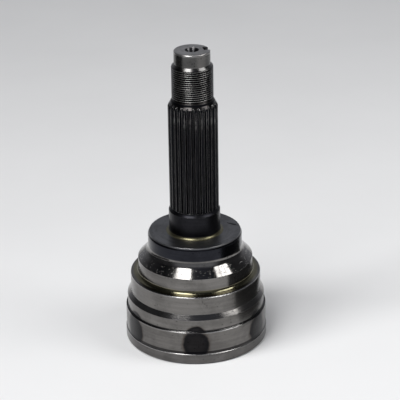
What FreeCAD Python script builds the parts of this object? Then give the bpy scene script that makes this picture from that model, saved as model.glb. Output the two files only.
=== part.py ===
"""Outboard constant-velocity joint with a splined stub axle.

A forged bell and stub axle in one piece, standing on the mouth of the bell, holds a
star-shaped inner race, a cage and six balls. Each ball runs between a track in the bell
and a track in the inner race. The two track circles have their centres on the joint axis,
one on each side of the joint centre, so the balls stay in the plane that halves the bend.

Millimetres. +Z runs along the stub axle and the origin is the centre of the bell's mouth.
"""
import FreeCAD, Part
import math
import os
import re

import Sketcher
from FreeCAD import Rotation, Vector

# Driving dimensions: name, value, what it is.
SIZES = (
    # bell, outside, from the mouth up: its wall stands on the ball tracks
    ("bell_wall", 3.43, "metal between a ball track and the boot seat"),
    ("lip_step", 0.35, "lip at the mouth, proud of the boot seat"),
    ("lip_length", 6.3, "length of the lip along the axis"),
    ("lip_chamfer", 0.7, "chamfer round the mouth face"),
    ("boot_seat_length", 14.1, "length of the seat of the boot's large end"),
    ("collar_step", 1.1, "step down from the boot seat to the collar"),
    ("collar_length", 7.2, "length of the collar"),
    ("back_step", 2.15, "drop of the taper from the collar to the back"),
    ("back_taper_length", 2.8, "length of that taper"),
    ("back_length", 10.9, "length of the back of the bell"),
    ("neck_step", 4.65, "step down from the back to the neck"),
    ("neck_length", 9.3, "length of the neck"),
    ("neck_fillet", 2.4, "fillet at the foot of the neck"),
    ("flange_radius", 27.55, "flange that carries the bearing face"),
    ("flange_length", 8.65, "length of the flange"),
    ("flange_fillet", 5.0, "fillet between the cone and the flange"),
    ("flange_chamfer", 0.75, "radial size of the chamfer round the bearing face"),
    ("flange_chamfer_length", 1.6, "length of that chamfer along the axis"),
    ("edge_round", 0.6, "rounding of the turned edges"),
    # stub axle, from the bearing face up
    ("journal_radius", 15.0, "journal for the wheel bearing"),
    ("journal_length", 14.5, "length of the journal"),
    ("journal_fillet", 2.0, "fillet at the foot of the journal"),
    ("journal_chamfer", 0.8, "chamfer at the end of the journal"),
    ("relief_depth", 0.95, "depth of the relief groove below the spline"),
    ("relief_length", 1.5, "length of the relief groove"),
    ("spline_radius", 14.29, "outside of the hub spline"),
    ("spline_length", 62.0, "length of the hub spline"),
    ("spline_depth", 1.35, "depth of the hub spline"),
    ("spline_teeth", 26, "teeth of the hub spline"),
    ("spline_root_width", 0.75, "width of a spline space at its root"),
    ("spline_flank_angle", 32.0, "slope of a spline flank from the radius"),
    ("spline_end_length", 4.3, "cone between the spline and the thread"),
    ("thread_radius", 12.0, "outside of the nut thread"),
    ("thread_pitch", 1.25, "pitch of the nut thread"),
    ("thread_length", 20.2, "length of the nut thread"),
    ("pilot_radius", 10.4, "plain end of the stub axle"),
    ("pilot_length", 8.5, "length of the plain end"),
    ("pilot_round", 0.9, "rounding of the plain end"),
    ("centre_hole_radius", 4.1, "mouth of the centre hole"),
    ("centre_drill_radius", 1.6, "drilled bottom of the centre hole"),
    ("centre_drill_depth", 9.0, "depth of the centre hole to its full drill"),
    ("stake_slot_width", 5.0, "width of the slot where the nut is staked"),
    ("stake_slot_radius", 6.5, "radius to the floor of the slot at the end face"),
    ("stake_slot_cutter", 20.0, "radius of the cutter that mills the slot"),
    ("stake_slot_angle", 15.0, "direction of the slot from the X axis"),
    # inside of the joint
    ("ball_count", 6, "balls, and tracks in each race"),
    ("ball_radius", 7.9375, "ball"),
    ("joint_height", 20.0, "joint centre above the mouth face"),
    ("pitch_radius", 29.85, "joint centre to ball centre"),
    ("track_offset", 2.5, "joint centre to either track centre"),
    ("track_gap", 0.28, "gap between a ball and its track"),
    ("land_height", 3.35, "spherical bore of the bell, outside the ball circle"),
    ("throat_step", 2.2, "narrow end of the flare at the mouth, inside the bore"),
    ("rim_width", 3.95, "flat mouth face between the flare and the lip's chamfer"),
    ("well_radius", 24.0, "well behind the spherical bore"),
    ("well_fillet", 3.0, "fillet round the floor of the well"),
    ("web_thickness", 16.0, "metal between the well and the bearing face"),
    ("sphere_gap", 0.3, "gap between two spherical faces"),
    ("cage_wall", 4.3, "wall of the cage"),
    ("cage_half_width", 15.5, "half the width of the cage"),
    ("cage_edge", 0.7, "chamfer on the rims of the cage"),
    ("window_gap", 0.34, "gap between a ball and either rim of its window"),
    ("window_side_gap", 1.5, "room for a ball to move along its window"),
    ("window_corner", 3.0, "corner radius of a window"),
    ("race_half_width", 12.0, "half the width of the inner race"),
    ("race_edge", 0.9, "chamfer round the faces of the inner race"),
    ("shaft_bore_radius", 12.1, "tooth tips in the bore of the inner race"),
    ("shaft_bore_chamfer", 1.3, "chamfer at both ends of the bore"),
    ("shaft_spline_depth", 1.0, "depth of the spline in the bore"),
    ("shaft_spline_teeth", 26, "teeth of the spline in the bore"),
    ("shaft_spline_tip_width", 1.9, "width of a spline space at the tooth tips"),
    ("ring_wire_radius", 0.9, "wire of the retaining ring"),
    ("ring_set", 0.65, "centre line of the retaining ring, outside the tooth tips"),
    ("ring_height", 9.0, "retaining ring above the joint centre"),
    ("ring_gap", 0.1, "gap between the ring and its groove"),
    ("ring_opening", 24.0, "angle left open between the ends of the ring"),
)

# Angles by which a track's cutter runs out of both ends of a race.
TRACK_RUN_TO_MOUTH = 75
TRACK_RUN_TO_BACK = 60
# A cutter stands this far out of the metal that it cuts.
CUTTER_OVERRUN = 1.0
# A radial cut of an external 60 degree thread, in pitches.
THREAD_DEPTH_IN_PITCHES = 0.6134

doc = FreeCAD.newDocument("cv_joint")
sheet = doc.addObject("Spreadsheet::Sheet", "Sizes")
for row, (name, value, meaning) in enumerate(SIZES, start=1):
    sheet.set(f"A{row}", meaning)
    sheet.set(f"B{row}", str(value))
    sheet.setAlias(f"B{row}", name)
doc.recompute()

SIZE_NAMES = re.compile(r"\b(" + "|".join(name for name, _, _ in SIZES) + r")\b")


def bound(text):
    """The expression with each size's name pointing at its cell."""
    return SIZE_NAMES.sub(r"Sizes.\1", text)


def value_of(text):
    """The expression's present value."""
    return float(sheet.evalExpression(bound(text)))


# Radii that follow from the driving dimensions.
TRACK_RADIUS = "sqrt(pitch_radius ^ 2 + track_offset ^ 2)"
BORE_RADIUS = "(pitch_radius + land_height)"
THROAT_RADIUS = f"({BORE_RADIUS} - throat_step)"
CAGE_RADIUS = f"({BORE_RADIUS} - sphere_gap)"
CAGE_BORE = f"({CAGE_RADIUS} - cage_wall)"
RACE_RADIUS = f"({CAGE_BORE} - sphere_gap)"
RING_RADIUS = "(shaft_bore_radius + ring_set)"
BOOT_SEAT_RADIUS = f"({TRACK_RADIUS} + ball_radius + track_gap + bell_wall)"
LIP_RADIUS = f"({BOOT_SEAT_RADIUS} + lip_step)"
MOUTH_RADIUS = f"({LIP_RADIUS} - lip_chamfer - rim_width)"
COLLAR_RADIUS = f"({BOOT_SEAT_RADIUS} - collar_step)"
BACK_RADIUS = f"({COLLAR_RADIUS} - back_step)"
NECK_RADIUS = f"({BACK_RADIUS} - neck_step)"
SPLINE_ROOT = "(spline_radius - spline_depth)"
RELIEF_RADIUS = "(spline_radius - relief_depth)"
THREAD_ROOT = f"(thread_radius - {THREAD_DEPTH_IN_PITCHES} * thread_pitch)"
# Distance from the corner of the cone and the flange to either end of their fillet.
FLANGE_TANGENT = "(flange_fillet * tan(22.5))"

# Heights above the mouth face, each stacked on the one below.
BOOT_SEAT_BASE = "lip_length"
COLLAR_BASE = f"({BOOT_SEAT_BASE} + boot_seat_length)"
COLLAR_TOP = f"({COLLAR_BASE} + collar_length)"
BACK_BASE = f"({COLLAR_TOP} + back_taper_length)"
NECK_BASE = f"({BACK_BASE} + back_length)"
CONE_BASE = f"({NECK_BASE} + neck_length)"
FLANGE_BASE = f"({CONE_BASE} + {NECK_RADIUS} - flange_radius)"
BEARING_FACE = f"({FLANGE_BASE} + flange_length + flange_chamfer_length)"
JOURNAL_TOP = f"({BEARING_FACE} + journal_length)"
SPLINE_BASE = f"({JOURNAL_TOP} + relief_length)"
SPLINE_TOP = f"({SPLINE_BASE} + spline_length)"
THREAD_BASE = f"({SPLINE_TOP} + spline_end_length)"
PILOT_BASE = f"({THREAD_BASE} + thread_length)"
STUB_END = f"({PILOT_BASE} + pilot_length)"


class Outline:
    """A closed outline in a sketch, with every corner held by an expression."""

    def __init__(self, sketch, x, y):
        self.sketch = sketch
        self.corners = [(x, y, "xy")]
        self.centres = []
        self.home = None

    def line(self, x, y):
        self.centres.append(None)
        self.corners.append((x, y, "xy"))

    def arc(self, x, y, centre, clockwise=False, hold="y"):
        """Arc to x, y about centre. The new corner is held in one direction only,
        because its distance from the centre fixes the other."""
        self.centres.append((centre[0], centre[1], clockwise))
        self.corners.append((x, y, hold))

    def arc_home(self, centre, clockwise=False, hold="x"):
        """Arc back to the first corner, which is then held in one direction only."""
        self.home = (centre[0], centre[1], clockwise)
        self.corners[0] = (*self.corners[0][:2], hold)

    def close(self):
        self.centres.append(self.home)
        spots = [Vector(value_of(x), value_of(y), 0) for x, y, _ in self.corners]
        ends = []
        for index, centre in enumerate(self.centres):
            start = spots[index]
            end = spots[(index + 1) % len(spots)]
            ends.append(self.add_edge(start, end, centre))
        for index, (_, finish) in enumerate(ends):
            following = ends[(index + 1) % len(ends)][0]
            self.sketch.addConstraint(Sketcher.Constraint("Coincident", *finish, *following))
        for (start, _), (x, y, held) in zip(ends, self.corners):
            hold_point(self.sketch, start, x if "x" in held else None, y if "y" in held else None)
        for (start, _), centre in zip(ends, self.centres):
            if centre:
                hold_point(self.sketch, (start[0], 3), centre[0], centre[1])

    def add_edge(self, start, end, centre):
        """One edge, returned as its starting and finishing points."""
        if centre is None:
            edge = self.sketch.addGeometry(Part.LineSegment(start, end))
            return (edge, 1), (edge, 2)
        middle = Vector(value_of(centre[0]), value_of(centre[1]), 0)
        first, last = (end, start) if centre[2] else (start, end)
        angles = [math.atan2(spot.y - middle.y, spot.x - middle.x) for spot in (first, last)]
        circle = Part.Circle(middle, Vector(0, 0, 1), (first - middle).Length)
        edge = self.sketch.addGeometry(Part.ArcOfCircle(circle, *angles))
        return ((edge, 2), (edge, 1)) if centre[2] else ((edge, 1), (edge, 2))


def hold(sketch, rule, text):
    """Add a constraint whose size is an expression."""
    number = sketch.addConstraint(rule)
    sketch.setExpression(f"Constraints[{number}]", bound(text))


def hold_point(sketch, point, x, y):
    """Hold a point at x, y. A direction given as None stays free."""
    for text, kind, axis in ((x, "DistanceX", -2), (y, "DistanceY", -1)):
        if text == "0":
            sketch.addConstraint(Sketcher.Constraint("PointOnObject", *point, axis))
        elif text is not None:
            hold(sketch, Sketcher.Constraint(kind, -1, 1, *point, value_of(text)), text)


def add_circle(sketch, x, y, radius):
    """A circle with its centre and radius held by expressions."""
    middle = Vector(value_of(x), value_of(y), 0)
    circle = sketch.addGeometry(Part.Circle(middle, Vector(0, 0, 1), value_of(radius)))
    hold_point(sketch, (circle, 3), x, y)
    hold(sketch, Sketcher.Constraint("Radius", circle, value_of(radius)), radius)


def new_body(label, height="0"):
    """A body whose own origin stands at a height on the joint axis."""
    body = doc.addObject("PartDesign::Body", label)
    body.Label = label
    body.Placement = FreeCAD.Placement()
    body.setExpression(".Placement.Base.z", bound(height))
    return body


def new_sketch(body, name, plane, height="0"):
    """A sketch on one of the body's origin planes, lifted along the plane's normal."""
    sketch = body.newObject("Sketcher::SketchObject", name)
    support = [item for item in body.Origin.OriginFeatures if item.Role == plane]
    sketch.AttachmentSupport = [(support[0], "")]
    sketch.MapMode = "FlatFace"
    sketch.setExpression(".AttachmentOffset.Base.z", bound(height))
    return sketch


def new_feature(body, kind, name, sketch, **settings):
    """A sketch-based feature with its plain settings."""
    feature = body.newObject("PartDesign::" + kind, name)
    feature.Profile = sketch
    for key, setting in settings.items():
        setattr(feature, key, setting)
    sketch.Visibility = False
    return feature


def repeat_round(body, feature, count):
    """Copies of a cut, evenly spaced round the joint axis."""
    pattern = body.newObject("PartDesign::PolarPattern", feature.Name + "_ring")
    pattern.Originals = [feature]
    axis = [item for item in body.Origin.OriginFeatures if item.Role == "Z_Axis"]
    pattern.Axis = (axis[0], [""])
    pattern.Angle = 360
    pattern.setExpression("Occurrences", bound(count))
    body.Tip = pattern
    return pattern


def turn_profile(body, name, sketch):
    """The whole turn of a profile about the joint axis."""
    return new_feature(body, "Revolution", name, sketch, ReferenceAxis=(sketch, ["V_Axis"]), Angle=360)


def cut_tracks(body, prefix, centre_height, run_down, run_up):
    """Six tracks: a circle a little larger than a ball, swung about the track centre."""
    sketch = new_sketch(body, prefix + "_track_circle", "XY_Plane", centre_height)
    add_circle(sketch, "0", TRACK_RADIUS, "ball_radius + track_gap")
    track = new_feature(
        body, "Groove", prefix + "_track", sketch, ReferenceAxis=(sketch, ["H_Axis"]),
        Type="TwoAngles", Angle=run_up, Angle2=run_down)
    return repeat_round(body, track, "ball_count")


def cut_teeth(body, prefix, height, length, inner, outer, inner_half_width, outer_half_width, count):
    """Spline spaces: one wedge-shaped cut, centred on a height, repeated round the axis."""
    sketch = new_sketch(body, prefix + "_space", "XY_Plane", height)
    space = Outline(sketch, f"-({inner_half_width})", inner)
    space.line(inner_half_width, inner)
    space.line(outer_half_width, outer)
    space.line(f"-({outer_half_width})", outer)
    space.close()
    cut = new_feature(body, "Pocket", prefix + "_cut", sketch, SideType="Symmetric", Type="Length")
    cut.setExpression("Length", bound(length))
    return repeat_round(body, cut, count)


def turn_bell_and_stub(body):
    """The turned outside of the bell and stub axle, with the hollow of the bell."""
    sketch = new_sketch(body, "outer_race_profile", "XZ_Plane")
    profile = Outline(sketch, MOUTH_RADIUS, "0")
    profile.line(f"{LIP_RADIUS} - lip_chamfer", "0")
    profile.line(LIP_RADIUS, "lip_chamfer")
    # lip, boot seat, collar and back, each with a rounded upper edge
    round_edge(profile, LIP_RADIUS, BOOT_SEAT_BASE, "lip_step")
    round_edge(profile, BOOT_SEAT_RADIUS, COLLAR_BASE, "edge_round")
    profile.line(COLLAR_RADIUS, COLLAR_BASE)
    profile.line(COLLAR_RADIUS, COLLAR_TOP)
    profile.line(BACK_RADIUS, BACK_BASE)
    round_edge(profile, BACK_RADIUS, NECK_BASE, "edge_round")
    # neck, cone and flange
    round_corner(profile, NECK_RADIUS, NECK_BASE, "neck_fillet")
    profile.line(NECK_RADIUS, CONE_BASE)
    profile.line(f"flange_radius + {FLANGE_TANGENT} * sqrt(0.5)",
                 f"{FLANGE_BASE} - {FLANGE_TANGENT} * sqrt(0.5)")
    profile.arc("flange_radius", f"{FLANGE_BASE} + {FLANGE_TANGENT}",
                ("flange_radius + flange_fillet", f"{FLANGE_BASE} + {FLANGE_TANGENT}"), clockwise=True)
    profile.line("flange_radius", f"{FLANGE_BASE} + flange_length")
    profile.line("flange_radius - flange_chamfer", BEARING_FACE)
    # journal, relief groove and spline blank
    round_corner(profile, "journal_radius", BEARING_FACE, "journal_fillet")
    profile.line("journal_radius", f"{JOURNAL_TOP} - journal_chamfer")
    profile.line("journal_radius - journal_chamfer", JOURNAL_TOP)
    profile.line(RELIEF_RADIUS, f"{JOURNAL_TOP} + relief_length / 2")
    profile.line("spline_radius", SPLINE_BASE)
    profile.line("spline_radius", SPLINE_TOP)
    # core of the thread, and the plain end
    profile.line("thread_radius", THREAD_BASE)
    profile.line(THREAD_ROOT, f"{THREAD_BASE} + thread_pitch / 2")
    profile.line(THREAD_ROOT, f"{PILOT_BASE} - thread_pitch / 2")
    profile.line("pilot_radius", PILOT_BASE)
    round_edge(profile, "pilot_radius", STUB_END, "pilot_round")
    profile.line("0", STUB_END)
    # hollow of the bell, from the floor of the well down to the mouth
    floor = f"({BEARING_FACE} - web_thickness)"
    profile.line("0", floor)
    profile.line("well_radius - well_fillet", floor)
    profile.arc("well_radius", f"{floor} - well_fillet",
                ("well_radius - well_fillet", f"{floor} - well_fillet"), clockwise=True)
    profile.line("well_radius", f"joint_height + sqrt({BORE_RADIUS} ^ 2 - well_radius ^ 2)")
    profile.arc(THROAT_RADIUS, f"joint_height - sqrt({BORE_RADIUS} ^ 2 - {THROAT_RADIUS} ^ 2)",
                ("0", "joint_height"), clockwise=True)
    profile.close()
    return turn_profile(body, "bell_and_stub", sketch)


def round_edge(profile, radius, height, size):
    """Up a cylinder and round its upper edge."""
    profile.line(radius, f"{height} - {size}")
    profile.arc(f"{radius} - {size}", height, (f"{radius} - {size}", f"{height} - {size}"), hold="x")


def round_corner(profile, radius, height, size):
    """In along a face and round the inner corner to the cylinder above."""
    profile.line(f"{radius} + {size}", height)
    profile.arc(radius, f"{height} + {size}", (f"{radius} + {size}", f"{height} + {size}"), clockwise=True)


def cut_centre_hole(body):
    """The lathe centre in the end of the stub axle."""
    sketch = new_sketch(body, "centre_hole_profile", "XZ_Plane")
    drill_top = "(centre_hole_radius - centre_drill_radius) / tan(30)"
    drill_tip = "centre_drill_radius * tan(30)"
    hole = Outline(sketch, "0", f"{STUB_END} + {CUTTER_OVERRUN}")
    hole.line("0", f"{STUB_END} - centre_drill_depth - {drill_tip}")
    hole.line("centre_drill_radius", f"{STUB_END} - centre_drill_depth")
    hole.line("centre_drill_radius", f"{STUB_END} - {drill_top}")
    hole.line("centre_hole_radius", STUB_END)
    hole.line("centre_hole_radius", f"{STUB_END} + {CUTTER_OVERRUN}")
    hole.close()
    return new_feature(
        body, "Groove", "centre_hole", sketch, ReferenceAxis=(sketch, ["V_Axis"]), Angle=360)


def cut_stake_slot(body):
    """The slot that a disc cutter leaves in the end of the stub axle."""
    sketch = new_sketch(body, "stake_slot_cutter_circle", "XZ_Plane")
    sketch.AttachmentOffset = FreeCAD.Placement(Vector(), Rotation(Vector(0, 1, 0), 0))
    sketch.setExpression(".AttachmentOffset.Rotation.Angle", bound("stake_slot_angle"))
    add_circle(sketch, "stake_slot_radius + stake_slot_cutter", STUB_END, "stake_slot_cutter")
    slot = new_feature(body, "Pocket", "stake_slot", sketch, SideType="Symmetric", Type="Length")
    slot.setExpression("Length", bound("stake_slot_width"))
    return slot


def make_outer_race():
    body = new_body("outer_race")
    turn_bell_and_stub(body)
    cut_tracks(body, "outer", "joint_height - track_offset", TRACK_RUN_TO_MOUTH, TRACK_RUN_TO_BACK)
    overrun = f"{CUTTER_OVERRUN} * tan(spline_flank_angle)"
    # the cutter runs from the middle of the relief groove to the thread
    space_length = "(spline_length + spline_end_length + relief_length / 2)"
    cut_teeth(
        body, "hub_spline",
        height=f"{THREAD_BASE} - {space_length} / 2",
        length=space_length,
        inner=SPLINE_ROOT,
        outer=f"spline_radius + {CUTTER_OVERRUN}",
        inner_half_width="spline_root_width / 2",
        outer_half_width=f"spline_root_width / 2 + spline_depth * tan(spline_flank_angle) + {overrun}",
        count="spline_teeth")
    cut_centre_hole(body)
    body.Tip = cut_stake_slot(body)
    return body


def make_inner_race():
    body = new_body("inner_race", "joint_height")
    sketch = new_sketch(body, "inner_race_profile", "XZ_Plane")
    face = "race_half_width"
    edge_height = "(race_half_width - race_edge)"
    face_radius = f"(sqrt({RACE_RADIUS} ^ 2 - race_half_width ^ 2) - race_edge)"
    edge_radius = f"sqrt({RACE_RADIUS} ^ 2 - {edge_height} ^ 2)"
    groove_radius = f"{RING_RADIUS} + ring_wire_radius + ring_gap"
    groove_half = "(ring_wire_radius + ring_gap)"

    profile = Outline(sketch, "shaft_bore_radius + shaft_bore_chamfer", f"-{face}")
    profile.line(face_radius, f"-{face}")
    profile.line(edge_radius, f"-{edge_height}")
    profile.arc(edge_radius, edge_height, ("0", "0"))
    profile.line(face_radius, face)
    profile.line("shaft_bore_radius + shaft_bore_chamfer", face)
    profile.line("shaft_bore_radius", f"{face} - shaft_bore_chamfer")
    profile.line("shaft_bore_radius", f"ring_height + {groove_half}")
    profile.line(groove_radius, f"ring_height + {groove_half}")
    profile.line(groove_radius, f"ring_height - {groove_half}")
    profile.line("shaft_bore_radius", f"ring_height - {groove_half}")
    profile.line("shaft_bore_radius", f"-{face} + shaft_bore_chamfer")
    profile.close()
    turn_profile(body, "inner_race_blank", sketch)
    cut_tracks(body, "inner", "track_offset", TRACK_RUN_TO_MOUTH, TRACK_RUN_TO_MOUTH)
    flank = "shaft_spline_tip_width / 2 - (shaft_spline_depth * tan(spline_flank_angle))"
    cut_teeth(
        body, "shaft_spline",
        height="0",
        length=f"2 * race_half_width + {CUTTER_OVERRUN}",
        inner=f"shaft_bore_radius - {CUTTER_OVERRUN}",
        outer="shaft_bore_radius + shaft_spline_depth",
        inner_half_width=f"shaft_spline_tip_width / 2 + {CUTTER_OVERRUN} * tan(spline_flank_angle)",
        outer_half_width=flank,
        count="shaft_spline_teeth")
    return body


def make_cage():
    body = new_body("cage", "joint_height")
    sketch = new_sketch(body, "cage_profile", "XZ_Plane")
    rim = "cage_half_width"
    edge_height = "(cage_half_width - cage_edge)"
    inside = f"sqrt({CAGE_BORE} ^ 2 - cage_half_width ^ 2)"
    rim_radius = f"sqrt({CAGE_RADIUS} ^ 2 - cage_half_width ^ 2) - cage_edge"
    edge_radius = f"sqrt({CAGE_RADIUS} ^ 2 - {edge_height} ^ 2)"

    profile = Outline(sketch, rim_radius, rim)
    profile.line(inside, rim)
    profile.arc(inside, f"-{rim}", ("0", "0"), clockwise=True)
    profile.line(rim_radius, f"-{rim}")
    profile.line(edge_radius, f"-{edge_height}")
    profile.arc(edge_radius, edge_height, ("0", "0"))
    profile.close()
    turn_profile(body, "cage_shell", sketch)
    cut_windows(body)
    return body


def cut_windows(body):
    """A rounded window for each ball, as wide as the ball and longer than it."""
    sketch = new_sketch(body, "window_outline", "XZ_Plane")
    half_length = "(ball_radius + window_side_gap)"
    half_width = "(ball_radius + window_gap)"
    inner_length = f"({half_length} - window_corner)"
    inner_width = f"({half_width} - window_corner)"
    window = Outline(sketch, f"-{inner_length}", f"-{half_width}")
    window.line(inner_length, f"-{half_width}")
    window.arc(half_length, f"-{inner_width}", (inner_length, f"-{inner_width}"))
    window.line(half_length, inner_width)
    window.arc(inner_length, half_width, (inner_length, inner_width), hold="x")
    window.line(f"-{inner_length}", half_width)
    window.arc(f"-{half_length}", inner_width, (f"-{inner_length}", inner_width))
    window.line(f"-{half_length}", f"-{inner_width}")
    window.arc_home((f"-{inner_length}", f"-{inner_width}"))
    window.close()
    cut = new_feature(body, "Pocket", "window", sketch, Type="ThroughAll", Reversed=False)
    return repeat_round(body, cut, "ball_count")


def make_retaining_ring():
    """An open ring of round wire, sprung into the groove in the inner race's bore."""
    body = new_body("retaining_ring", "joint_height + ring_height")
    sketch = new_sketch(body, "ring_wire", "XZ_Plane")
    add_circle(sketch, RING_RADIUS, "0", "ring_wire_radius")
    ring = new_feature(body, "Revolution", "ring", sketch, ReferenceAxis=(sketch, ["V_Axis"]))
    ring.setExpression("Angle", bound("360 - ring_opening"))
    return body


def make_balls():
    """The balls, in the plane through the joint centre while the joint is straight."""
    balls = []
    for number in range(int(value_of("ball_count"))):
        ball = doc.addObject("Part::Sphere", f"ball_{number + 1}")
        ball.Label = f"ball_{number + 1}"
        ball.setExpression("Radius", bound("ball_radius"))
        direction = f"(90 + 360 / ball_count * {number})"
        ball.setExpression(".Placement.Base.x", bound(f"pitch_radius * cos({direction})"))
        ball.setExpression(".Placement.Base.y", bound(f"pitch_radius * sin({direction})"))
        ball.setExpression(".Placement.Base.z", bound("joint_height"))
        balls.append(ball)
    return balls


def check(parts):
    """Stop if a feature has failed or a sub-part isn't one sound solid."""
    for item in doc.Objects:
        if "Invalid" in item.State or "Error" in item.State:
            raise RuntimeError(f"{item.Label} is {item.State}")
    for part in parts:
        shape = part.Shape
        if shape.isNull() or not shape.isValid() or len(shape.Solids) != 1:
            raise RuntimeError(f"{part.Label} isn't one sound solid")


def main():
    parts = [make_outer_race(), make_inner_race(), make_cage(), make_retaining_ring(), *make_balls()]
    doc.recompute()
    check(parts)
    os.makedirs("parts", exist_ok=True)
    for part in parts:
        part.Shape.exportStep(f"parts/{part.Label}.step")
        box = part.Shape.BoundBox
        print(f"{part.Label:15} {part.Shape.Volume / 1000:8.2f} cm3  z {box.ZMin:.2f} to {box.ZMax:.2f}")


main()
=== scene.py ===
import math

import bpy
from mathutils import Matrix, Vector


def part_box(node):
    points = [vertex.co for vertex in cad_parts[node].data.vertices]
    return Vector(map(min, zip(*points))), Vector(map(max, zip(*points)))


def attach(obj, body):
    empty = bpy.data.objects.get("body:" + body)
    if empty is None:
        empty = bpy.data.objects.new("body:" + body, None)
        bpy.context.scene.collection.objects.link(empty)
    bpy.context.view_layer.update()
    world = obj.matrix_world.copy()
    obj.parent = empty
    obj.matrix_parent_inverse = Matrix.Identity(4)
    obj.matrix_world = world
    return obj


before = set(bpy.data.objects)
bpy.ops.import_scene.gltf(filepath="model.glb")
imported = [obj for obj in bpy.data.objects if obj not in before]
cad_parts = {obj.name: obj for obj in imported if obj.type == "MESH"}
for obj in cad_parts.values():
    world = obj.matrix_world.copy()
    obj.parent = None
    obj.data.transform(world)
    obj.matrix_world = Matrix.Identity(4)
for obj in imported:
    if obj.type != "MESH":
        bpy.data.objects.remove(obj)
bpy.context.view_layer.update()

# Dress and stage of a fixed constant-velocity joint with a splined stub axle.
#
# The joint stands on the mouth of its bell, with its stub axle along +Z. The turned bell
# is bright, the stub is dark with oil, and the bell carries heat marks outside its six ball
# tracks. Lengths are metres, and those whose names end in _MM are millimetres.

bl_info = {
    "name": "Constant-velocity joint",
    "version": (1, 0, 0),
    "blender": (4, 5, 0),
    "location": "View3D > Sidebar > Joint",
    "description": "Finishes, nut thread and studio for a fixed constant-velocity joint",
    "category": "Object",
}

MM_PER_M = 1000.0
STUB_END_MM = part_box("outer_race")[1].z * MM_PER_M

# Turned heights of the outer race above its mouth, in millimetres.
LIP_TOP_MM = 6.3
BOOT_SEAT_TOP_MM = 20.4
COLLAR_TOP_MM = 27.6
TAPER_TOP_MM = 30.4
LEDGE_MM = 41.3
NECK_FILLET_TOP_MM = 43.8
NECK_TOP_MM = 50.6
CONE_TOP_MM = 53.6
FLANGE_SIDE_MM = 58.8
FLANGE_CHAMFER_MM = 65.4
BEARING_FACE_MM = 67.0
JOURNAL_TOP_MM = 81.5
SPLINE_TOP_MM = 145.0
THREAD_FOOT_MM = 149.3
PILOT_FOOT_MM = 169.5
PILOT_ROUND_MM = 0.9
PILOT_RADIUS_MM = 10.4

# Zones along the axis from the mouth upwards: the height where each ends and its colour's
# setting, or its roughness. A zone of a flat face reaches a little to either side of it.
FACE_LAP_MM = 0.3
ZONE_JOIN_MM = 0.15
PILOT_SIDE_MM = STUB_END_MM - PILOT_ROUND_MM - 0.1
PAST_END_MM = STUB_END_MM + 1.0
COLOUR_ZONES = (
    (LIP_TOP_MM - FACE_LAP_MM, "lip"),
    (BOOT_SEAT_TOP_MM, "seat"),
    (COLLAR_TOP_MM, "bell"),
    (TAPER_TOP_MM, "cone"),
    (NECK_TOP_MM, "bell"),
    (FLANGE_SIDE_MM, "cone"),
    (BEARING_FACE_MM - FACE_LAP_MM, "flange"),
    (BEARING_FACE_MM + FACE_LAP_MM, "face"),
    (JOURNAL_TOP_MM, "journal"),
    (THREAD_FOOT_MM, "spline"),
    (PILOT_FOOT_MM + 0.1, "thread"),
    (PILOT_SIDE_MM, "pilot"),
    (PAST_END_MM, "end_face"),
)
ROUGHNESS_ZONES = (
    (COLLAR_TOP_MM, 0.22),
    (TAPER_TOP_MM, 0.135),
    (LEDGE_MM, 0.22),
    (NECK_FILLET_TOP_MM, 0.11),
    (NECK_TOP_MM, 0.19),
    (FLANGE_SIDE_MM, 0.09),
    (BEARING_FACE_MM - FACE_LAP_MM, 0.20),
    (BEARING_FACE_MM + FACE_LAP_MM, 0.50),
    (JOURNAL_TOP_MM, 0.30),
    (THREAD_FOOT_MM, 0.42),
    (PILOT_SIDE_MM, 0.24),
    (STUB_END_MM - 0.05, 0.20),
    (PAST_END_MM, 0.38),
)

# Ball tracks of the bell: their number, and the direction of the first from the X axis.
# Then the radius of the boot seat, which the heat marks outside them lie on.
TRACKS = 6
FIRST_TRACK_DEG = 90.0
BOOT_SEAT_RADIUS_MM = 41.6

# Heat mark on the boot seat and its dome on the collar: height of the middle above the
# mouth, half width and half height, in millimetres. A depth of 0 is the middle of a mark
# and 1 its outline. Then the depths between which its edge fades, the height over which it
# stops at the lip, the depth of the last stop, and its colours' settings at shares of that.
HEAT_LOBES_MM = ((12.2, 8.0, 9.3), (20.0, 5.6, 3.8))
HEAT_EDGE = (0.86, 1.22)
HEAT_LIP_MM = 0.7
HEAT_DEPTH = 1.5
HEAT_STOPS = (
    (0.00, "heat_core"),
    (0.30, "heat_core"),
    (0.52, "heat_ring"),
    (0.62, "heat_ring"),
    (0.70, "heat_fringe"),
)

# Turned edges of the bell where a highlight is painted, and the corners over them where
# shade is painted, as heights from and to.
EDGE_HIGHLIGHT_MM = ((5.9, 6.2), (19.85, 20.2), (40.7, 41.15))
CORNER_SHADE_MM = ((6.45, 8.0), (20.36, 21.2))

# Inside of the bell: (height, radius) at two places of the line that parts it from the
# outside, the heights between which the well starts, and where it ends.
INSIDE_LINE_MM = ((28.0, 39.5), (45.0, 30.0))
WELL_START_MM = (38.0, 40.0)
WELL_END_MM = 51.5

# Corners that hold oil: height of the foot, rise of the oil, softness of its ends, and the
# radii at which it starts and is full. Then how far it laps over the face below, and the
# heights between which the stub is oiled.
OIL_CORNERS_MM = ((LEDGE_MM, 1.6, 0.9, 37.8, 35.6), (BEARING_FACE_MM, 1.2, 0.4, 17.0, 16.5))
OIL_LAP_MM = 0.2
OILED_STUB_MM = (84.0, 168.5)
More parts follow.
